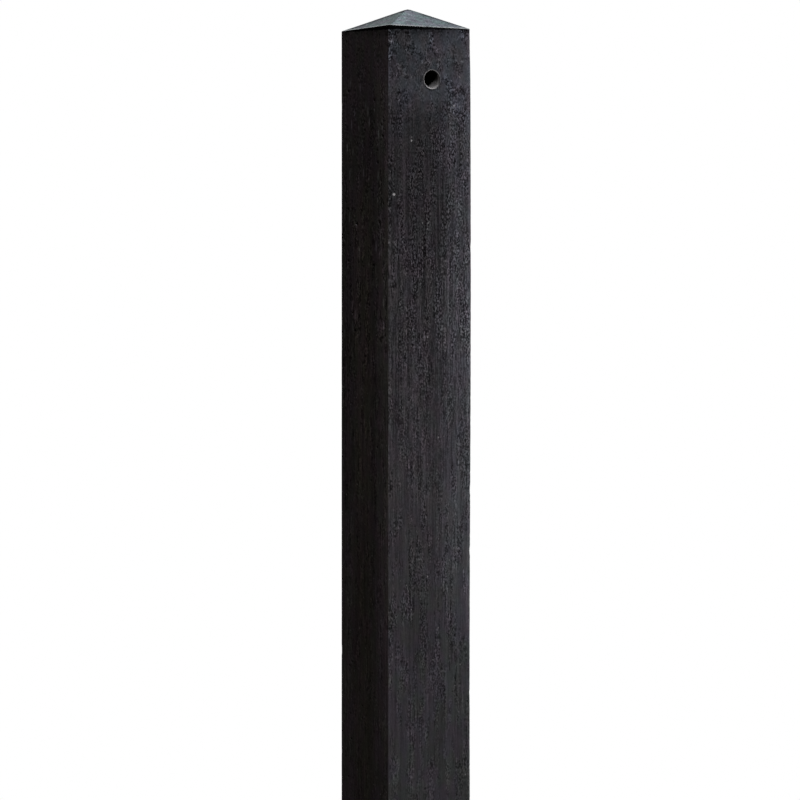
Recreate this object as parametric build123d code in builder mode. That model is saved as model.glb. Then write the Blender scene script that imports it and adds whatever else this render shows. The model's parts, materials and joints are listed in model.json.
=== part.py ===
from build123d import *
import os

# Concrete fence post: a square cast shaft with bevelled arrises, a low pyramid head
# and one cross hole below the head. Millimetres, +Z up, origin at the centre of the foot.

# Shaft
post_side = 100.0  # square section, face to face
post_length = 2800.0  # foot to the point where the four facets meet
arris_bevel = 2.0  # taken off each face along the four long edges

# Head
head_rise = 22.0  # eave to the point of the pyramid
ridge_radius = 4.0  # softens the four ridges and the tip
eave_radius = 1.5  # softens the edge between the facets and the faces below

# Cross hole, from the front face (-Y) to the back face (+Y)
hole_diameter = 17.0
hole_below_eave = 54.0
hole_offset = 1.5  # along +X from the centre line of the face
mouth_bevel = 1.8  # at both ends of the hole

eave_height = post_length - head_rise
hole_height = eave_height - hole_below_eave

with BuildPart() as post:
    # Shaft, drawn to the full length so that the head can be cut from it
    with BuildSketch():
        Rectangle(post_side, post_side)
        chamfer(vertices(), arris_bevel)
    extrude(amount=post_length)

    # Four facets: each is a plane through the tip that runs down to one eave
    for outward in (Vector(1, 0), Vector(-1, 0), Vector(0, 1), Vector(0, -1)):
        facet_normal = outward * head_rise + Vector(0, 0, post_side / 2)
        split(bisect_by=Plane((0, 0, post_length), z_dir=facet_normal), keep=Keep.BOTTOM)

    # Cross hole with a bevel at each mouth
    with Locations(Location((hole_offset, 0, hole_height), (90, 0, 0))):
        Hole(hole_diameter / 2)
    chamfer(edges().filter_by(GeomType.CIRCLE), mouth_bevel)

    # Soft eave, carried over the bevelled corners, then soft ridges that meet in the tip
    eaves, corners = edges().group_by(Axis.Z)[-3:-1]
    fillet(eaves + corners, eave_radius)
    fillet(edges().group_by(Axis.Z)[-1], ridge_radius)

post.part.label = "post"

os.makedirs("parts", exist_ok=True)
export_step(post.part, "parts/post.step")
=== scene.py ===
import functools
import json
import math
import random

import bmesh
import bpy
from mathutils import Matrix, Vector, kdtree, noise


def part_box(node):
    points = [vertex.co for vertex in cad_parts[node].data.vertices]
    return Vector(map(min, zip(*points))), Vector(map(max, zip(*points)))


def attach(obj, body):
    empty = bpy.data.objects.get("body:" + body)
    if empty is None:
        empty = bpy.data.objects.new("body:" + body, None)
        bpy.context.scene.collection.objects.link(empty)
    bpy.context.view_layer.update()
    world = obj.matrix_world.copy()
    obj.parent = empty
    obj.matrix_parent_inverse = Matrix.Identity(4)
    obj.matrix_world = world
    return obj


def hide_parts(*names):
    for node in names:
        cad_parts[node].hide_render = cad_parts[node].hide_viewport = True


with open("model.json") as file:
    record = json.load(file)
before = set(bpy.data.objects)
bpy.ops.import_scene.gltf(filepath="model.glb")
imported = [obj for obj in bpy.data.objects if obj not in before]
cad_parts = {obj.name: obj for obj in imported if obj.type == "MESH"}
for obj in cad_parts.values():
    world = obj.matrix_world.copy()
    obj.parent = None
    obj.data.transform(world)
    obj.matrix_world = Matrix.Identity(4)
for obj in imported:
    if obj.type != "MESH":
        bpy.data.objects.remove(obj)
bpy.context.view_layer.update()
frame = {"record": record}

postLow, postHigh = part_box("post")
half = postHigh.x  # half the square section
crossHole = next(mount for mount in frame["record"]["mounts"] if mount["name"] == "cross_hole")
holeAt = Vector(crossHole["pos_m"])
boreRadius = crossHole["dims"]["r_mm"] / 1000
print("frame loaded: post", [round(size, 4) for size in postHigh - postLow])

# Post, metres
postValues = {
    "arrisBevel": 0.002,  # off each face along the four long edges
    "arrisSoft": 0.0007,  # rounds the two edges of that bevel
    "arrisMargin": 0.0012,  # narrow cell beside each arris, keeps the faces flat
    "faceCells": 18,  # across one face
    "fineStep": 0.003,  # ring spacing in the upper part
    "coarseStep": 0.008,  # ring spacing below it
    "fineLength": 0.88,  # length of the upper part
    "headRise": 0.022,  # eave to the point where the facets would meet
    "headRings": 20,
    "eaveAboveHole": 0.054,
    "eaveSoft": 0.0015,  # radius between the faces and the facets
    "eaveRings": 3,
    "mouthBevel": 0.0018,  # at both ends of the cross hole
    "mouthProfile": ((0.86, 0.06), (0.5, 0.42), (0.14, 0.82), (0, 1.15)),  # shares of that, out and in
    "boreRings": (0.08, 0.14, 0.22, 0.32, 0.46, 0.64, 0.82, 1.0),  # shares of the way to the middle
    "mouthWindow": 0.0125,  # half width of the patch that is cut away for the hole
    "tipLean": Vector((0.0014, -0.0008, 0)),  # the tip stands a little off the centre
}
eave = holeAt.z + postValues["eaveAboveHole"]
headSlope = postValues["headRise"] / half
mouthRadius = boreRadius + postValues["mouthBevel"]


def extrudeLoop(bm, loop):
    grown = bmesh.ops.extrude_edge_only(bm, edges=loop)["geom"]
    verts = {item for item in grown if isinstance(item, bmesh.types.BMVert)}
    edges = [item for item in grown if isinstance(item, bmesh.types.BMEdge)]
    return list(verts), [edge for edge in edges if set(edge.verts) <= verts]


def drawSection(bm):
    values = postValues
    bmesh.ops.create_circle(bm, cap_ends=True, segments=4, radius=half * math.sqrt(2))
    bmesh.ops.rotate(bm, verts=bm.verts, matrix=Matrix.Rotation(math.radians(45), 3, "Z"))
    for offset, segments in ((values["arrisBevel"], 1), (values["arrisSoft"], 2)):
        bmesh.ops.bevel(bm, geom=list(bm.verts), offset=offset, offset_type="OFFSET", affect="VERTICES",
                        segments=segments, profile=0.5, material=-1)
    bmesh.ops.delete(bm, geom=list(bm.faces), context="FACES_ONLY")
    flats = [edge for edge in bm.edges if values["arrisBevel"] * 0.5 < edge.calc_length() < half]
    bmesh.ops.subdivide_edges(bm, edges=flats, cuts=1)  # a line of points for the ridges of the head
    for side in [edge for edge in bm.edges if edge.calc_length() > half]:
        for corner in list(side.verts):
            bmesh.utils.edge_split(side, corner, values["arrisMargin"] / side.calc_length())
    sides = [edge for edge in bm.edges if edge.calc_length() > half]
    bmesh.ops.subdivide_edges(bm, edges=sides, cuts=values["faceCells"] - 1)
    return list(bm.edges)


def raiseShaft(bm, loop):
    values = postValues
    bend = eave - values["fineLength"]
    top = eave - values["eaveSoft"] - values["fineStep"]
    for length, step in ((bend, values["coarseStep"]), (top - bend, values["fineStep"])):
        below = set(bm.edges)
        verts, loop = extrudeLoop(bm, loop)
        bmesh.ops.translate(bm, verts=verts, vec=(0, 0, length))
        uprights = [edge for edge in bm.edges if edge not in below and edge not in loop]
        bmesh.ops.subdivide_edges(bm, edges=uprights, cuts=round(length / step) - 1)
    return loop


def closeHead(bm, loop):
    values = postValues
    soft = values["eaveSoft"]
    turn = math.radians(90) - math.atan(headSlope)  # from the upright face to the facet
    tangent = soft * math.tan(turn / 2)
    inset = 0
    for step in range(values["eaveRings"] + 1):
        angle = turn * step / values["eaveRings"]
        verts, loop = extrudeLoop(bm, loop)
        wasInset = inset
        inset = soft * (1 - math.cos(angle))
        lift = soft * math.sin(angle) - tangent
        for vert in verts:
            reach = max(abs(vert.co.x), abs(vert.co.y)) * half / (half - wasInset)
            vert.co.z = eave + headSlope * (half - reach) + lift
        shrink = (half - inset) / (half - wasInset)
        bmesh.ops.scale(bm, verts=verts, vec=(shrink, shrink, 1))
    meeting = Vector((0, 0, eave + values["headRise"])) + values["tipLean"]
    for ring in range(values["headRings"], 1, -1):
        verts, loop = extrudeLoop(bm, loop)
        shrink = (ring - 1) / ring
        toMeeting = Matrix.Translation(-meeting)
        bmesh.ops.scale(bm, verts=verts, vec=(shrink, shrink, shrink), space=toMeeting)
    verts, loop = extrudeLoop(bm, loop)
    bmesh.ops.pointmerge(bm, verts=verts, merge_co=(meeting.x, meeting.y, postHigh.z))


def cutHole(bm, facing):
    # Clears a patch of one face, sets the round mouth into it, runs the bore to the middle of the post
    values = postValues

    def onFace(point):
        return point.y * facing > half * 0.9

    def inWindow(point):
        away = max(abs(point.x - holeAt.x), abs(point.z - holeAt.z))
        return away < values["mouthWindow"] and onFace(point)

    def openRim():
        edges = [edge for edge in bm.edges if edge.is_boundary]
        return [edge for edge in edges if onFace(edge.verts[0].co) and edge.verts[0].co.z > half]

    patch = [face for face in bm.faces if inWindow(face.calc_center_median())]
    bmesh.ops.delete(bm, geom=patch, context="FACES")
    bmesh.ops.subdivide_edges(bm, edges=openRim(), cuts=1)
    rim = openRim()
    upright = Matrix.Rotation(math.radians(90), 4, "X")
    place = Matrix.Translation((holeAt.x, half * facing, holeAt.z)) @ upright
    ring = bmesh.ops.create_circle(bm, segments=len(rim), radius=mouthRadius, matrix=place)["verts"]
    mouth = list({edge for vert in ring for edge in vert.link_edges})
    bridged = bmesh.ops.bridge_loops(bm, edges=rim + mouth)["edges"]
    spokes = [edge for edge in bridged if edge not in rim and edge not in mouth]
    bmesh.ops.subdivide_edges(bm, edges=spokes, cuts=2)
    bevel = values["mouthBevel"]
    profile = [(boreRadius + bevel * out, bevel * into) for out, into in values["mouthProfile"]]
    profile += [(boreRadius, half * share) for share in values["boreRings"]]
    loop = mouth
    radius = mouthRadius
    for nextRadius, depth in profile:
        verts, loop = extrudeLoop(bm, loop)
        grow = nextRadius / radius
        bmesh.ops.scale(bm, verts=verts, vec=(grow, 1, grow), space=Matrix.Translation(-holeAt))
        for vert in verts:
            vert.co.y = (half - depth) * facing
        radius = nextRadius


# Casting marks and wear, all cut inwards from the true faces, metres
wearValues = {
    "seed": 11,
    "wave": 0.00025,  # slow unevenness of the faces
    "waveSpan": (0.07, 0.07, 0.26),
    "bow": 0.0015,  # the +X side wanders in and out by this along the post
    "bowLength": 0.90,
    "bowCrest": 2.533,  # height at which that side stands furthest out
    "headNip": 0.0006,  # and it comes in once more beside the head
    "arrisRagged": 0.0004,  # fine nibbling along the long edges
    "arrisChip": 0.0011,  # deepest bites there
    "arrisReach": (0.0042, 0.0015),  # from a face's edge: where that wear begins, where it is full
    "raggedSpan": 0.0065,
    "chipSpan": 0.021,
    "chipFrom": 0.38,  # noise above this bites
    "backLeft": 0.4,  # share of the wear on that arris
    "frontLeft": 0.12,  # this one stays nearly straight
    "ridgeSoft": 0.0045,  # radius of the ridges of the head
    "pitCount": 520,
    "pitRadius": (0.0009, 0.0019),
    "pitKeepOff": 0.009,  # clear of arrises and hole mouth
    "pitDepth": 0.75,  # of the radius
    "pitTop": 0.3,  # length below the eave with more pits
    "pitTopShare": 0.35,  # of the pits that sit there
}


def smoothStep(low, high, value):
    share = min(max((value - low) / (high - low), 0), 1)
    return share * share * (3 - 2 * share)


def overArris(point):
    # 0 on the flat of a face, 1 at an arris
    begin, full = wearValues["arrisReach"]
    return smoothStep(half - begin, half - full, min(abs(point.x), abs(point.y)))


def inBore(point):
    across = math.hypot(point.x - holeAt.x, point.z - holeAt.z)
    return across < mouthRadius * 1.02 and abs(point.y) < half - 1e-5


def wearDepth(point):
    values = wearValues
    corner = Vector((math.copysign(7, point.x), math.copysign(13, point.y), 0))
    spanned = Vector([place / span for place, span in zip(point, values["waveSpan"])])
    tipShare = smoothStep(eave, postHigh.z - 0.002, point.z)
    depth = values["wave"] * (0.5 + 0.5 * noise.noise(spanned)) * (1 - tipShare)
    arris = overArris(point)
    if arris > 0 and point.z < eave + 0.002:
        ragged = abs(noise.noise(corner + Vector((0, 0, point.z / values["raggedSpan"]))))
        bite = noise.noise(corner * 2 + Vector((0, 0, point.z / values["chipSpan"])))
        bite = max(0, bite - values["chipFrom"]) / 0.4
        left = values["backLeft"] if point.y > 0 else values["frontLeft"]
        share = 1 if point.x > 0 else left
        depth += arris * share * (values["arrisRagged"] * ragged + values["arrisChip"] * min(bite, 1))
    if point.z > eave + 0.0005:
        apart = abs(abs(point.x) - abs(point.y)) / math.sqrt(2)
        reach = values["ridgeSoft"] * 0.3
        depth += values["ridgeSoft"] * 0.075 * max(0, 1 - apart / reach) ** 2 * (1 - tipShare)
    return depth


def bowIn(height):
    values = wearValues
    turns = (height - values["bowCrest"]) / values["bowLength"]
    nip = values["headNip"] * smoothStep(eave - 0.055, eave - 0.015, height)
    return values["bow"] * (0.5 - 0.5 * math.cos(2 * math.pi * turns)) + nip


def scatterPits(dice):
    values = wearValues
    pits = []
    keep = half - values["pitKeepOff"]
    smallest, largest = values["pitRadius"]
    topFrom = eave - values["pitTop"]
    while len(pits) < values["pitCount"]:
        inTop = dice.random() < values["pitTopShare"]
        height = dice.uniform(topFrom, eave - 0.008) if inTop else dice.uniform(0.02, topFrom)
        along = dice.uniform(-keep, keep)
        outX, outY = dice.choice(((1, 0), (-1, 0), (0, 1), (0, -1)))
        radius = smallest + (largest - smallest) * dice.random() ** 2
        middle = Vector((outX * half + abs(outY) * along, outY * half + abs(outX) * along, height))
        clear = math.hypot(middle.x - holeAt.x, height - holeAt.z) - mouthRadius
        if outY == 0 or clear > values["pitKeepOff"]:
            pits.append((middle, radius))
    return pits


def weatherPost(bm):
    values = wearValues
    dice = random.Random(values["seed"])
    pits = scatterPits(dice)
    bm.faces.ensure_lookup_table()
    cells = kdtree.KDTree(len(bm.faces))
    for index, face in enumerate(bm.faces):
        cells.insert(face.calc_center_median(), index)
    cells.balance()
    around = set()
    for middle, radius in pits:
        inFine = middle.z > eave - postValues["fineLength"]
        reach = radius + postValues["coarseStep"] * (0.4 if inFine else 0.6)
        for place, index, apart in cells.find_range(middle, reach):
            around.update(bm.faces[index].edges)
    bmesh.ops.subdivide_edges(bm, edges=list(around), cuts=3, use_grid_fill=True)
    bm.normal_update()
    bm.verts.ensure_lookup_table()
    spots = kdtree.KDTree(len(bm.verts))
    for index, vert in enumerate(bm.verts):
        spots.insert(vert.co, index)
    spots.balance()
    depths = [0 if inBore(vert.co) else wearDepth(vert.co) for vert in bm.verts]
    pitLayer = bm.verts.layers.float.new("pit")
    for middle, radius in pits:
        for place, index, apart in spots.find_range(middle, radius):
            sink = (1 - (apart / radius) ** 2) * radius * values["pitDepth"]
            depths[index] += max(0, sink)
            bm.verts[index][pitLayer] = max(bm.verts[index][pitLayer], 1 - apart / radius)
    moves = [vert.normal * -depth for vert, depth in zip(bm.verts, depths)]
    for vert, move in zip(bm.verts, moves):
        share = smoothStep(0, half, vert.co.x)
        bow = bowIn(vert.co.z) * share
        lowest = vert.co.z < 1e-4
        vert.co += move
        vert.co.x -= bow
        if lowest:
            vert.co.z = 0


# Layout of the UV map: four faces cut in lengths and laid side by side, head, foot and bore above them
uvValues = {
    "lengths": 3,  # strips from each face
    "stripTop": 0.885,
    "stripFill": 0.92,  # share of its column that a strip fills
    "upperRow": 0.897,
    "upperSize": 0.098,  # one head, seen from above
    "headAt": 0.01,
    "footAt": 0.13,
    "boreAt": 0.25,
}


def layPoint(point, home):
    # Where a point goes in the square, home being the strip or the patch of its face
    values = uvValues
    kind, index = home
    row = values["upperRow"]
    size = values["upperSize"]
    alongX = point.x / half * 0.5
    alongY = point.y / half * 0.5
    if kind == "head":
        return (values["headAt"] + size * (alongX + 0.5), row + size * (alongY + 0.5))
    if kind == "foot":
        return (values["footAt"] + size * (alongX + 0.5), row + size * (0.5 - alongY))
    if kind == "bore":
        angle = math.atan2(point.z - holeAt.z, point.x - holeAt.x)
        angle += 2 * math.pi * round((index - angle) / (2 * math.pi))
        around = angle / (2 * math.pi) * 0.98 + 0.5
        return (values["boreAt"] + size * 1.5 * (0.5 - alongY), row + size * around)
    side, piece = index
    across = (-point.y, point.y, point.x, -point.x)[side]
    column = (side * values["lengths"] + piece) / (4 * values["lengths"])
    length = eave / values["lengths"]
    u = column + (0.5 + across / half * 0.5 * values["stripFill"]) / (4 * values["lengths"])
    return (u, 0.004 + (values["stripTop"] - 0.008) * (point.z - piece * length) / length)


def layOut(bm):
    values = uvValues
    layer = bm.loops.layers.uv.new("OFBake")
    for face in bm.faces:
        middle = face.calc_center_median()
        if inBore(middle):
            home = ("bore", math.atan2(middle.z - holeAt.z, middle.x - holeAt.x))
        elif face.normal.z > 0.6:
            home = ("head", 0)
        elif face.normal.z < -0.6:
            home = ("foot", 0)
        else:
            outX = abs(middle.x) > abs(middle.y)
            side = (middle.x > 0) if outX else 2 + (middle.y > 0)
            piece = min(int(middle.z / eave * values["lengths"]), values["lengths"] - 1)
            home = ("strip", (int(side), piece))
        for loop in face.loops:
            loop[layer].uv = layPoint(loop.vert.co, home)


def buildPost():
    bm = bmesh.new()
    foot = drawSection(bm)
    loop = raiseShaft(bm, foot)
    closeHead(bm, loop)
    for facing in (-1, 1):
        cutHole(bm, facing)
    middle = [vert for vert in bm.verts if abs(vert.co.y) < 1e-6]
    middle = [vert for vert in middle if (vert.co - holeAt).length < mouthRadius]
    bmesh.ops.remove_doubles(bm, verts=middle, dist=1e-5)  # the two halves of the bore meet here
    foot = [edge for edge in bm.edges if edge.is_boundary]
    bmesh.ops.edgeloop_fill(bm, edges=foot)
    bmesh.ops.recalc_face_normals(bm, faces=bm.faces)
    layOut(bm)
    weatherPost(bm)
    for face in bm.faces:
        face.smooth = True
    for edge in bm.edges:
        edge.smooth = edge.calc_face_angle(0) < math.radians(40)
    mesh = bpy.data.meshes.new("post_cast")
    bm.to_mesh(mesh)
    print("post:", len(bm.faces), "faces,", sum(len(face.verts) - 2 for face in bm.faces), "triangles,",
          sum(not edge.is_manifold for edge in bm.edges), "open edges")
    bm.free()
    piece = bpy.data.objects.new("post_cast", mesh)
    bpy.context.scene.collection.objects.link(piece)
    return piece


class Wire:
    # One socket of a node tree, so that shader maths reads as plain expressions
    def __init__(self, socket):
        self.socket = socket

    def node(self, kind, settings, inputs, output=0):
        tree = self.socket.id_data
        made = tree.nodes.new(kind)
        for name, value in settings.items():
            setattr(made, name, value)
        for name, value in inputs.items():
            if isinstance(value, Wire):
                tree.links.new(value.socket, made.inputs[name])
            else:
                made.inputs[name].default_value = value
        return Wire(made.outputs[output])

    def math(self, operation, first, second=0.0):
        return self.node("ShaderNodeMath", {"operation": operation}, {0: first, 1: second})

    def __add__(self, other):
        return self.math("ADD", self, other)

    def __radd__(self, other):
        return self.math("ADD", other, self)

    def __sub__(self, other):
        return self.math("SUBTRACT", self, other)

    def __rsub__(self, other):
        return self.math("SUBTRACT", other, self)

    def __mul__(self, other):
        return self.math("MULTIPLY", self, other)

    def __rmul__(self, other):
        return self.math("MULTIPLY", other, self)

    def __truediv__(self, other):
        return self.math("DIVIDE", self, other)

    def __rpow__(self, other):
        return self.math("POWER", other, self)

    def __abs__(self):
        return self.math("ABSOLUTE", self)

    def larger(self, other):
        return self.math("MAXIMUM", self, other)

    def smaller(self, other):
        return self.math("MINIMUM", self, other)

    def root(self):
        return self.math("SQRT", self)

    def ease(self, low, high):
        # 0 below low, 1 above high, smooth between them; low may be the larger one
        flip = low > high
        inputs = {"Value": self, "From Min": min(low, high), "From Max": max(low, high)}
        inputs.update({"To Min": float(flip), "To Max": float(not flip)})
        return self.node("ShaderNodeMapRange", {"interpolation_type": "SMOOTHSTEP"}, inputs)

    def axes(self):
        split = self.node("ShaderNodeSeparateXYZ", {}, {0: self}).socket.node
        return [Wire(out) for out in split.outputs]

    def stretched(self, span, shift=(0, 0, 0)):
        # Place divided by a size in metres along each axis
        scale = [1 / size for size in span]
        moved = self.node("ShaderNodeVectorMath", {"operation": "ADD"}, {0: self, 1: shift})
        return self.node("ShaderNodeVectorMath", {"operation": "MULTIPLY"}, {0: moved, 1: scale})

    def cloud(self, span, detail=2.0, roughness=0.5, shift=(0, 0, 0)):
        # Noise about 0, mostly within -1 to 1
        place = self.stretched(span, shift)
        inputs = {"Vector": place, "Scale": 1.0, "Detail": detail, "Roughness": roughness}
        return (self.node("ShaderNodeTexNoise", {"noise_dimensions": "3D"}, inputs) - 0.5) * 4

    def cells(self, span, shift=(0, 0, 0)):
        # Distance to the nearest scattered point, and a number of its own for each point
        inputs = {"Vector": self.stretched(span, shift), "Scale": 1.0, "Randomness": 1.0}
        near = self.node("ShaderNodeTexVoronoi", {"feature": "F1"}, inputs)
        own = self.node("ShaderNodeSeparateColor", {}, {0: Wire(near.socket.node.outputs["Color"])})
        return near, own

    def apart(self, point):
        return self.node("ShaderNodeVectorMath", {"operation": "DISTANCE"}, {0: self, 1: point}, 1)

    def tint(self, colourA, colourB):
        # Mixes two colours by this value
        return self.node("ShaderNodeMix", {"data_type": "RGBA"}, {0: self, 6: colourA, 7: colourB}, 2)

    def scaled(self, factor):
        return self.node("ShaderNodeVectorMath", {"operation": "SCALE"}, {0: self, 3: factor})

    def times(self, other):
        return self.node("ShaderNodeVectorMath", {"operation": "MULTIPLY"}, {0: self, 1: other})


# Dark concrete, colours linear, sizes in metres, strengths in powers of two
concreteValues = {
    "tone": (0.0249, 0.0237, 0.0255, 1),
    "warmTint": (1.03, 0.98, 0.99, 1),
    "coolTint": (0.97, 1.01, 1.01, 1),
    "hazeTint": (0.98, 1.035, 1.065, 1),  # of the paler parts
    "mossTint": (0.96, 1.03, 0.93, 1),
    "plumTint": (1.04, 0.97, 1.06, 1),
    "slateTint": (0.97, 1.02, 1.07, 1),  # patches below the head
    "shadeTint": (1.01, 0.96, 0.92, 1),  # of the shaded face
    "soilTint": (1.03, 1.02, 0.90, 1),  # of its middle
    "greyTint": (0.965, 1.005, 0.995, 1),  # of the lower part of the front face
    "headDustSheenTone": (0.112, 0.122, 0.124, 1),  # pale facets: dust and painted sheen
    "greenTint": (0.91, 1.04, 1.01, 1),
    "violetTint": (1.05, 0.98, 1.07, 1),
    "eaveHighlightTone": (0.27, 0.29, 0.29, 1),  # painted highlight along the eave edge
    "eaveShadowTone": (0.0010, 0.0011, 0.0012, 1),  # painted shadow, a dark band below the eave
    "mouthTone": (0.19, 0.188, 0.186, 1),  # paler ring at the mouth of the hole, bare cement with a painted highlight
    "mouthHighlightTone": (0.38, 0.376, 0.372, 1),  # the painted highlight, brighter on its -X side
    "boreLitTone": (0.235, 0.232, 0.230, 1),  # bare cement inside it, painted as lit where the light falls in
    "deepTone": (0.020, 0.020, 0.020, 1),
    "sandTone": (0.29, 0.287, 0.284, 1),
    "grainSpan": (0.0010, 0.0017, 0.0012),
    "fleckSpan": (0.0014, 0.0024, 0.0027),
    "dashSpan": (0.0014, 0.0024, 0.011),
    "clumpSpan": (0.0065, 0.009, 0.034),  # flecks stand in clumps
    "streakSpan": (0.0018, 0.0030, 0.070),
    "clotSpan": (0.0034, 0.0040, 0.0042),
    "runSpan": (0.0065, 0.0075, 0.24),  # runs down the faces
    "blotchSpan": (0.022, 0.022, 0.05),
    "grain": 0.68,
    "fleck": 1.10,
    "dash": 0.75,
    "streak": 0.75,
    "clot": 0.85,  # only in the top part
    "run": 0.20,
    "blotch": 0.16,
    "bloom": 0.66,  # paler side of the front face
    "arrisGlow": 0.26,  # paler arris bevels: partly wear, partly painted highlight
    "edgeDust": 0.85,  # dust beside the front arris on the shaded face
    "eaveShadowDepth": (0.0044, 0.0011),  # depth of that painted shadow band at the front left arris, at the far corners
    "boreLitDepth": 0.017,
    "boreLitTurn": -50,  # degrees round the bore from +X, where that painted light reaches deepest
    "roughness": 0.82,
    # Pale grains on the front face: x, depth below the eave, radius, strength
    "grains": (
        (-0.0444, 0.1738, 0.0020, 1.0),
        (-0.0234, 0.1180, 0.0015, 0.65),
        (0.0279, 0.0806, 0.0018, 0.40),
    ),
    # Chalky patches on the front face: x, depth below the eave, radius
    "chalk": ((0.0300, 0.0815, 0.012), (0.0330, 0.0560, 0.008)),
    # Dark hairlines on the front face: x, from and to below the eave
    "hairlines": ((-0.0085, 0.20, 0.32), (0.0085, 0.16, 0.25)),
    "dustSpan": (0.008, 0.008, 0.008),
    "pockPatchSpan": (0.013, 0.013, 0.016),  # round patches by the head
    "pitSpan": (0.0042, 0.0050, 0.0060),
    "pockSpan": (0.0036, 0.0042, 0.0038),
    "sandSpan": (0.0065, 0.0080, 0.0085),
    "scuffSpan": (0.011, 0.007, 0.030),
    "hueSpan": (0.013, 0.013, 0.020),
    "patchSpan": (0.014, 0.016, 0.026),
    "facetSpan": (0.011, 0.011, 0.011),
    "headZone": (0.13, 0.05),  # below the eave: where the marks of the head end, where they are full
    "lowerZone": (0.26, 0.44),  # flecks give way to streaks here
    "calmZone": (0.34, 0.55),  # detail gathers in long patches from here down
    "pitShade": 0.68,  # painted shade in pits, also how dark the hairlines are
    "scuff": 1.25,
    "bumpStrength": 0.5,
    "bumpDepth": 0.0006,
}


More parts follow.
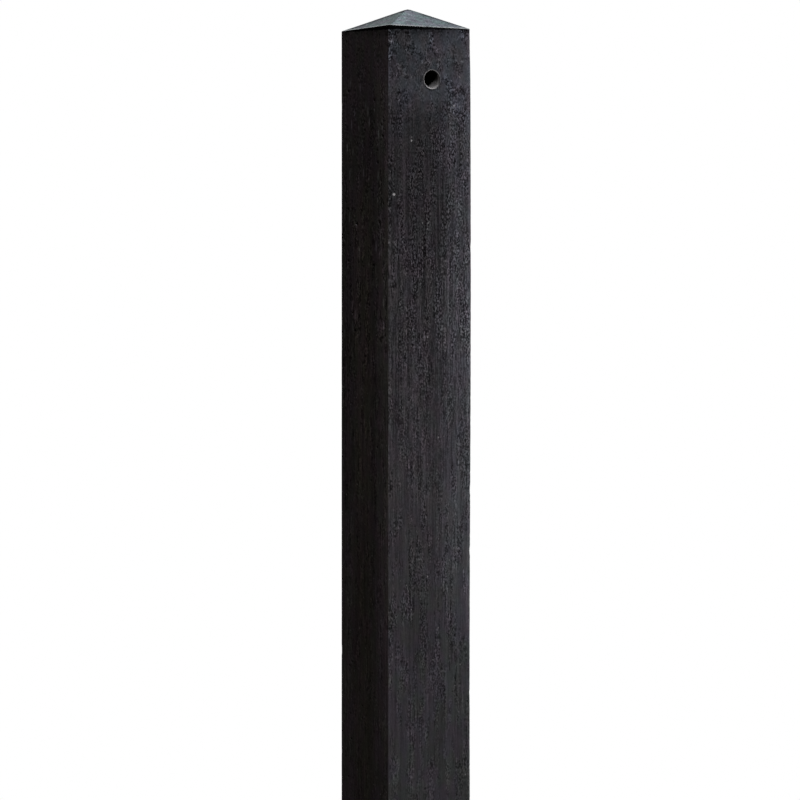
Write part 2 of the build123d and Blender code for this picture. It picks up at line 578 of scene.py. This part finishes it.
def concreteFinish():
    values = concreteValues
    plain = (1, 1, 1, 1)  # leaves a colour as it is
    finish = bpy.data.materials.new("concrete_dark")
    finish.use_nodes = True
    tree = finish.node_tree
    shader = tree.nodes["Principled BSDF"]
    place = Wire(tree.nodes.new("ShaderNodeTexCoord").outputs["Object"])
    x, y, z = place.axes()
    below = eave - z  # depth below the eave

    # Flecks in clumps, streaks and blotches, as powers of two so that dark stays dark
    grain = place.cloud(values["grainSpan"], 1.0, 0.5)
    fleck = place.cloud(values["fleckSpan"], 1.0, 0.5, (0.3, 0.1, 0.2)).ease(-0.45, 0.62) * 2 - 1
    dash = place.cloud(values["dashSpan"], 1.0, 0.5, (0.6, 0.4, 0.1)).ease(-0.6, 0.6) * 2 - 1
    clump = place.cloud(values["clumpSpan"], 2.0, 0.5, (0.7, 0, 0)).ease(-0.45, 0.55) * 1.05 + 0.28
    streak = place.cloud(values["streakSpan"], 2.0, 0.6)
    clot = place.cloud(values["clotSpan"], 2.0, 0.6, (0.2, 0.5, 0.9))
    run = place.cloud(values["runSpan"], 2.0, 0.5)
    blotch = place.cloud(values["blotchSpan"], 3.0, 0.6)
    dust = place.cloud(values["dustSpan"], 3.0, 0.65, (0, 5, 0))
    # The lower part is more even
    lively = below.ease(0.90, 0.45) * 0.45 + below.ease(0.50, 0.25) * 0.1 + 0.55
    lower = below.ease(*values["lowerZone"])
    headZone = below.ease(*values["headZone"])
    smooth = 1 - headZone * 0.65
    front = y.ease(-half + 0.0028, -half + 0.0022)  # with its bevelled arrises
    shaded = x.ease(-half * 0.975, -half * 0.995) * abs(y).ease(half - 0.0022, half - 0.0028)
    fine = fleck * clump * values["fleck"] + grain * values["grain"] * (clump * 0.6 + 0.4 + lower * 0.4)
    fine = fine * (1 - shaded * 0.55) * (1.1 - lower * 0.45)
    dashed = dash * values["dash"] * below.ease(0.08, 0.28) * (clump * 0.5 + 0.5) * (1 - lower * 0.3)
    long = streak * values["streak"] * (1 + lower * 0.15) + dashed + (dust * 0.12 + clot * 0.2) * front
    fine = (fine + long * smooth * (1 - shaded * 0.2)) * lively * (1 - headZone * 0.3)
    pockPatch = place.cloud(values["pockPatchSpan"], 2.0, 0.5, (0.1, 0.9, 0.4)).ease(-0.2, 0.45)
    mottle = (clot * values["clot"] + grain * 0.25) * (pockPatch * 0.9 + 0.5) + dust * 0.30
    fine = fine + mottle * headZone * (1 - shaded * 0.85)
    # Detail gathers in round patches by the head, in long ones below and on the shaded face
    uneven = headZone * (pockPatch * 1.1 - 0.45)
    calm = shaded.larger(below.ease(*values["calmZone"])) * (1 - headZone)
    uneven = uneven + calm * (clump * 0.8 - 0.80)
    fine = fine * (1 + uneven)
    fine = fine.smaller(fine * 0.55 + 0.16)  # the bright side is held back

    # Broad tones: the front face pales towards +X, the shaded face towards the front arris
    pale = front * x.ease(-0.004, 0.034) * below.ease(0.78, 0.50)
    # Arris bevels made paler: partly wear, partly painted highlight
    arris = abs(x).smaller(abs(y)).ease(half - 0.0024, half - 0.0014) * (1 - shaded)
    dip = front * below.ease(0.06, 0.10) * below.ease(0.30, 0.16)
    dip = dip * (1 - x.ease(0.010, 0.032) * 0.8) * (1 - arris)
    wide = x.ease(-0.034, -0.014).larger(below.ease(0.040, 0.055))
    haze = front * wide * x.ease(0.030, 0.012) * below.ease(0.006, 0.020) * below.ease(0.095, 0.070)
    dusty = shaded * y.ease(-half * 0.25, -half * 0.9) * below.ease(-0.02, 0.08) * values["edgeDust"]
    dusty = dusty * (below.ease(0.12, 0.24) * 0.3 + 0.7) * (below.ease(0.80, 0.60) * 0.6 + 0.4)
    soil = shaded * abs(y - 0.004).ease(0.026, 0.008) * below.ease(0.12, 0.20)
    farDust = shaded * y.ease(0.014, 0.030) * below.ease(0.42, 0.54)
    further = below.ease(0.14, 0.34) * 0.19 - below.ease(0.50, 0.66) * 0.03
    lift = front * (further + x.ease(0.040, 0.046) * 0.46)
    dull = front * headZone * x.ease(0.004, 0.014) * x.ease(0.038, 0.026)
    lift = lift - dip * 0.34 - dull * 0.26 + haze * 0.42
    lift = lift + shaded * headZone * (0.25 - y.ease(-0.0435, -0.0470) * 0.5)
    lift = lift + soil * below.ease(0.56, 0.44) * 0.28 + farDust * 0.28
    arrisEdgeLight = front * x.ease(-half + 0.0010, -half + 0.0002)  # painted light on the last millimetre beside the shaded face
    lift = lift + arrisEdgeLight * 0.75
    patches = []
    for middle, drop, radius in values["chalk"]:
        ragged = place.apart((middle, -half, eave - drop)) + dust * 0.003
        patches.append(ragged.ease(radius, radius * 0.3))
    chalk = functools.reduce(Wire.larger, patches)
    lift = lift + chalk * 0.42
    broad = run * values["run"] + blotch * values["blotch"] + pale * values["bloom"]
    broad = broad + dusty + arris * values["arrisGlow"] + lift
    scuffNear, scuffOwn = place.cells(values["scuffSpan"], (0.2, 0.8, 0.5))
    scuffZone = shaded * below.ease(0.02, 0.07) * below.ease(0.45, 0.25)
    scuffZone = scuffZone * y.ease(-half + 0.004, -half + 0.010)  # clear of the arris
    scuffs = (scuffNear + grain * 0.05).ease(0.25, 0.10) * scuffOwn.ease(0.45, 0.60) * scuffZone
    light = fine + broad + scuffs * values["scuff"]

    # Pits with painted shade in them, pale grains of sand and hairlines
    near, own = place.cells(values["pitSpan"])
    pits = (own.ease(0.35, 1.0) * 0.30 - near).ease(-0.05, 0.08)
    pits = pits * clump.smaller(1.0) * (1 - lower * 0.4)
    pockNear, pockOwn = place.cells(values["pockSpan"], (0.9, 0.3, 0.6))
    pocks = (pockOwn.ease(0.2, 1.0) * 0.42 - pockNear).ease(-0.05, 0.12) * pockPatch * headZone
    pits = pits.larger(pocks * (1 - shaded * 0.6))
    sandNear, sandOwn = place.cells(values["sandSpan"], (0.4, 0.2, 0.1))
    sand = sandNear.ease(0.16, 0.03) * sandOwn.ease(0.80, 0.93)
    sand = sand * (clump * 0.28 + 0.15) * (1 - shaded * 0.5)
    for middle, drop, radius, strength in values["grains"]:
        away = place.apart((middle, -half, eave - drop))
        sand = sand.larger(away.ease(radius, radius * 0.3) * strength)
    cut = Wire(tree.nodes.new("ShaderNodeAttribute").outputs["Fac"])
    cut.socket.node.attribute_name = "pit"
    pitShadeAndHairlines = (pits * 0.8 + cut.ease(0.02, 0.6) * 0.8).smaller(1.0)
    for middle, begin, end in values["hairlines"]:
        off = abs(x - middle + run * 0.0006)
        line = front * off.ease(0.0013, 0.0005)
        line = line * below.ease(begin, begin + 0.03) * below.ease(end, end - 0.05)
        pitShadeAndHairlines = pitShadeAndHairlines.larger(line * (streak * 0.3 + 0.7))

    hue = place.cloud(values["hueSpan"], 1.0, 0.5, (1, 2, 3)).ease(-0.6, 0.6)
    tone = hue.tint(values["warmTint"], values["coolTint"]).times(values["tone"][:3])
    patch = place.cloud(values["patchSpan"], 1.0, 0.5, (5, 1, 4)).ease(-0.5, 0.5)
    patchTint = patch.tint(values["plumTint"], values["mossTint"])
    tints = (
        (shaded * 0.6 + 0.4 + front * below.ease(0.50, 0.66) * 0.5, patchTint),
        ((front * headZone * hue).larger(chalk).larger(scuffs), values["slateTint"]),
        ((pale + front * headZone).smaller(1.0), values["hazeTint"]),
        (shaded, values["shadeTint"]),
        (soil, values["soilTint"]),
        (front * below.ease(0.52, 0.68), values["greyTint"]),
    )
    for share, tint in tints:
        tone = tone.times(share.tint(plain, tint))
    tone = tone.scaled(2 ** light)
    # Painted shade in the pits, and the dark hairlines
    tone = tone.scaled(1 - values["pitShade"] * pitShadeAndHairlines)
    tone = (sand * 0.9).tint(tone, values["sandTone"])

    # Painted shadow below the eave: a near black band, deepest at the front left arris, with painted
    # shade fading out below it
    deepest, shallowest = values["eaveShadowDepth"]
    fromArris = (x + half).larger(y + half) / (2 * half)  # 0 at the front left arris
    eaveShadowBand = deepest + (shallowest - deepest) * fromArris + 0.0008 * place.cloud((0.003, 0.003, 0.003))
    # Painted shade: darker down to about two and a half times the band's depth
    tone = tone.scaled(1 - 0.35 * (below - eaveShadowBand * 2.5).ease(0.003, -0.003))
    eaveShadowed = (below - eaveShadowBand).ease(0.0004, -0.0004) * (1 - 0.14 * fromArris * front)
    tone = eaveShadowed.tint(tone, values["eaveShadowTone"])

    # Head: facets pale from dust and painted sheen, paler beside the front left ridge, darker by the
    # outer ridges, a painted highlight along the eave
    apart = abs(abs(x) - abs(y))
    toRight = x.ease(-0.001, 0.001)
    outer = (x * y * (1 - toRight * 0.95)).ease(0.0, -0.00001)
    behind = (x + y).ease(-0.0005, 0.0005)  # the two back facets, with narrower lines
    outer = outer * (apart * (toRight * 0.5 + 0.5) * (1 + behind * 4)).ease(0.0105, 0.0040)
    onFront = (abs(x) + y).ease(0.001, -0.001)
    tip = z.ease(postHigh.z - 0.0022, postHigh.z - 0.0006)
    tip = tip.larger(z.ease(postHigh.z - 0.0056, postHigh.z - 0.0026) * (1 - onFront) * (1 - behind))
    ridge = apart.ease(0.0022, 0.0006) * 0.3 + outer.larger(tip * 1.7) * 0.9
    swept = onFront * (x - y).ease(0.022, 0.006) * x.ease(0.004, -0.004)
    facetHue = place.cloud(values["facetSpan"], 2.0, 0.5, (3, 2, 1)).ease(-0.4, 0.4)
    facetTone = facetHue.tint(values["violetTint"], values["greenTint"]).times(values["headDustSheenTone"][:3])
    facetTone = facetTone.times(onFront.tint(plain, values["hazeTint"]))
    facetTone = facetTone.scaled(2 ** (dust * 0.5 + clot * 0.4 + grain * 0.7 + swept * 0.3 - ridge))
    # The painted highlight line along the eave climbs on the shaded side
    drop = below + 0.0005 * (1 - fromArris) + x.ease(-0.044, -0.047) * 0.0003
    tone = drop.ease(0.0002, -0.0003).tint(tone, facetTone)
    eaveHighlight = abs(drop + 0.0003).ease(0.0009, 0.0003) * (0.7 + 0.7 * dust).smaller(1.0).larger(0.0)
    tone = eaveHighlight.tint(tone, values["eaveHighlightTone"])

    # Hole: a thin pale ring at the mouth, bare cement with a painted highlight; a smear of bare cement
    # on one side, painted as lit where the light would fall into the bore; a painted shadow on the inner
    # part of the mouth's bevel; dark further in
    besideX = x - holeAt.x
    besideZ = z - holeAt.z
    across = (besideX * besideX + besideZ * besideZ).root()
    depth = half - abs(y)
    turn = math.radians(values["boreLitTurn"])
    # Painted light: the bare cement wall is lit as deep as the light would reach
    facing = ((besideX * math.cos(turn) + besideZ * math.sin(turn)) / across).larger(0.0)
    boreLitSmear = (values["boreLitDepth"] * facing - depth).ease(-0.0006, 0.0006)
    # Painted light: brighter towards the bottom of the bore and away from +X
    boreLightFall = besideZ.ease(boreRadius * 0.3, -boreRadius) * 0.6 + 0.4
    boreLightFall = boreLightFall * (besideX.ease(boreRadius, -boreRadius * 0.4) * 0.5 + 0.5)
    inside = boreLitSmear.tint(values["deepTone"], values["boreLitTone"]).scaled(boreLightFall * 2 ** (grain * 0.5))
    sideways = besideX / across
    # The ring's painted highlight is fainter at the lower right
    dulled = sideways.ease(0.38, 0.65) * besideZ.ease(boreRadius * 0.9, boreRadius * 0.2) * 0.85
    ring = across.ease(mouthRadius, mouthRadius - 0.0004) * depth.ease(0.0030, 0.0025) * (1 - dulled)
    low = ((besideX * -0.35 - besideZ * 0.94) / across).ease(0.70, 0.92)
    tone = tone.scaled(1 - 0.65 * low * abs(across - mouthRadius - 0.0007).ease(0.0009, 0.0003))
    mouthTone = sideways.ease(0.2, -0.6).tint(values["mouthTone"], values["mouthHighlightTone"])
    tone = ring.tint(tone, mouthTone)
    # Painted shadow: the inner part of the mouth's bevel is dark, except at the bottom
    mouthBevelShadow = across.ease(boreRadius + 0.0003, boreRadius + 0.0006)
    mouthBevelShadow = mouthBevelShadow * besideZ.ease(-boreRadius * 0.8, -boreRadius * 0.3)
    inside = mouthBevelShadow.tint(inside, values["deepTone"])
    tone = across.ease(boreRadius + 0.0014, boreRadius + 0.0009).tint(tone, inside)

    height = grain * 0.06 + fleck * 0.10 + dash * 0.05 + streak * 0.08
    height = height + clot * headZone * 0.2 - pits * 0.6 + sand * 0.25
    relief = {"Strength": values["bumpStrength"], "Distance": values["bumpDepth"], "Height": height}
    bump = place.node("ShaderNodeBump", {}, relief)
    rough = values["roughness"] + 0.06 * grain
    for name, wire in (("Base Color", tone), ("Roughness", rough), ("Normal", bump)):
        tree.links.new(wire.socket, shader.inputs[name])
    shader.inputs["Specular IOR Level"].default_value = 0.0
    return finish


postCast = buildPost()
postCast.data.materials.append(concreteFinish())
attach(postCast, "root")
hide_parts("post")
print("post dressed")

# Camera, metres and degrees
cameraValues = {
    "azimuth": -30.95,
    "distance": 5.0070,
    "height": 2.39295,
    "sideShift": -0.00632,
    "lens": 216.42,  # millimetres, as is the sensor
    "sensor": 36,
    "farthest": 200,
}


def addCamera():
    values = cameraValues
    azimuth = math.radians(values["azimuth"])
    back = Vector((math.sin(azimuth), -math.cos(azimuth), 0))
    right = Vector((math.cos(azimuth), math.sin(azimuth), 0))
    data = bpy.data.cameras.new("camera")
    data.lens = values["lens"]
    data.sensor_width = values["sensor"]
    data.clip_end = values["farthest"]
    camera = bpy.data.objects.new("camera", data)
    camera.location = back * values["distance"] + right * values["sideShift"]
    camera.location.z = values["height"]
    camera.rotation_euler = (math.radians(90), 0, azimuth)
    bpy.context.scene.collection.objects.link(camera)
    bpy.context.scene.camera = camera


# Studio: white surroundings as seen, a low even light on the object, four soft lamps
studioValues = {
    "ambient": 0.10,
    "ambientColour": (1.06, 0.87, 0.72, 1),
    "floorReach": 14.0,
    "floorColour": (0.80, 0.80, 0.80, 1),
    "bounceColour": (0.16, 0.15, 0.145, 1),  # what the floor throws back on the post
    "fadeFrom": 1.2,
    "fadeTo": 5.0,  # the floor turns white over this distance
    "floorRough": 0.9,
    "aimHeight": 2.2,  # of the lamps
    "lamps": (
        # name, direction from the post, distance, size, level on a face turned to it, colour
        ("key", (-0.10, -0.80, 0.58), 9.0, 1.5, 1.12, (1.0, 0.985, 1.03)),
        ("top", (-0.25, 0.10, 0.95), 8.0, 2.4, 0.18, (0.95, 1.0, 1.04)),
        ("side", (0.92, 0.05, 0.30), 9.0, 2.4, 0.75, (1.0, 0.99, 1.0)),
        ("rear", (0.25, 0.90, 0.40), 9.0, 2.4, 0.85, (1.0, 0.99, 1.0)),
    ),
}


def seenDirectly(start):
    # 1 for camera, mirror and glass rays, which should meet plain white
    path = start.node("ShaderNodeLightPath", {}, {}).socket.node.outputs
    total = Wire(path["Is Camera Ray"]) + Wire(path["Is Glossy Ray"]) + Wire(path["Is Transmission Ray"])
    return total.smaller(1.0)


def lightWorld():
    values = studioValues
    world = bpy.data.worlds.new("studio")
    world.use_nodes = True
    bpy.context.scene.world = world
    background = world.node_tree.nodes["Background"]
    start = Wire(background.outputs[0])
    seen = seenDirectly(start)
    colour = seen.tint(values["ambientColour"], (1, 1, 1, 1))
    strength = seen * (1 - values["ambient"]) + values["ambient"]
    world.node_tree.links.new(colour.socket, background.inputs["Color"])
    world.node_tree.links.new(strength.socket, background.inputs["Strength"])


def addLamps():
    aim = Vector((0, 0, studioValues["aimHeight"]))
    for name, direction, distance, size, level, colour in studioValues["lamps"]:
        toward = Vector(direction).normalized()
        data = bpy.data.lights.new(name, "AREA")
        data.shape = "DISK"
        data.size = size
        data.color = colour
        data.energy = level * math.pi ** 2 * distance ** 2
        lamp = bpy.data.objects.new(name, data)
        lamp.location = aim + toward * distance
        lamp.rotation_euler = toward.to_track_quat("Z", "Y").to_euler()
        lamp.visible_glossy = False
        lamp.visible_camera = False
        bpy.context.scene.collection.objects.link(lamp)


def addFloor():
    values = studioValues
    bm = bmesh.new()
    bmesh.ops.create_circle(bm, cap_ends=True, segments=96, radius=values["floorReach"])
    mesh = bpy.data.meshes.new("floor")
    bm.to_mesh(mesh)
    bm.free()
    floor = bpy.data.objects.new("floor", mesh)
    bpy.context.scene.collection.objects.link(floor)
    pale = bpy.data.materials.new("floor_pale")
    pale.use_nodes = True
    tree = pale.node_tree
    shader = tree.nodes["Principled BSDF"]
    shader.inputs["Roughness"].default_value = values["floorRough"]
    shader.inputs["Specular IOR Level"].default_value = 0.0
    place = Wire(tree.nodes.new("ShaderNodeTexCoord").outputs["Object"])
    away = place.node("ShaderNodeVectorMath", {"operation": "LENGTH"}, {0: place}, 1)
    seen = seenDirectly(place)
    fade = away.ease(values["fadeFrom"], values["fadeTo"]) * seen
    colour = seen.tint(values["bounceColour"], values["floorColour"])
    tree.links.new(colour.socket, shader.inputs["Base Color"])
    white = place.node("ShaderNodeEmission", {}, {"Color": (1, 1, 1, 1), "Strength": 1.0})
    mixed = place.node("ShaderNodeMixShader", {}, {0: fade, 1: Wire(shader.outputs[0]), 2: white})
    tree.links.new(mixed.socket, tree.nodes["Material Output"].inputs["Surface"])
    mesh.materials.append(pale)


addCamera()
lightWorld()
addLamps()
addFloor()
bpy.context.scene.view_settings.view_transform = "Standard"
print("studio set")
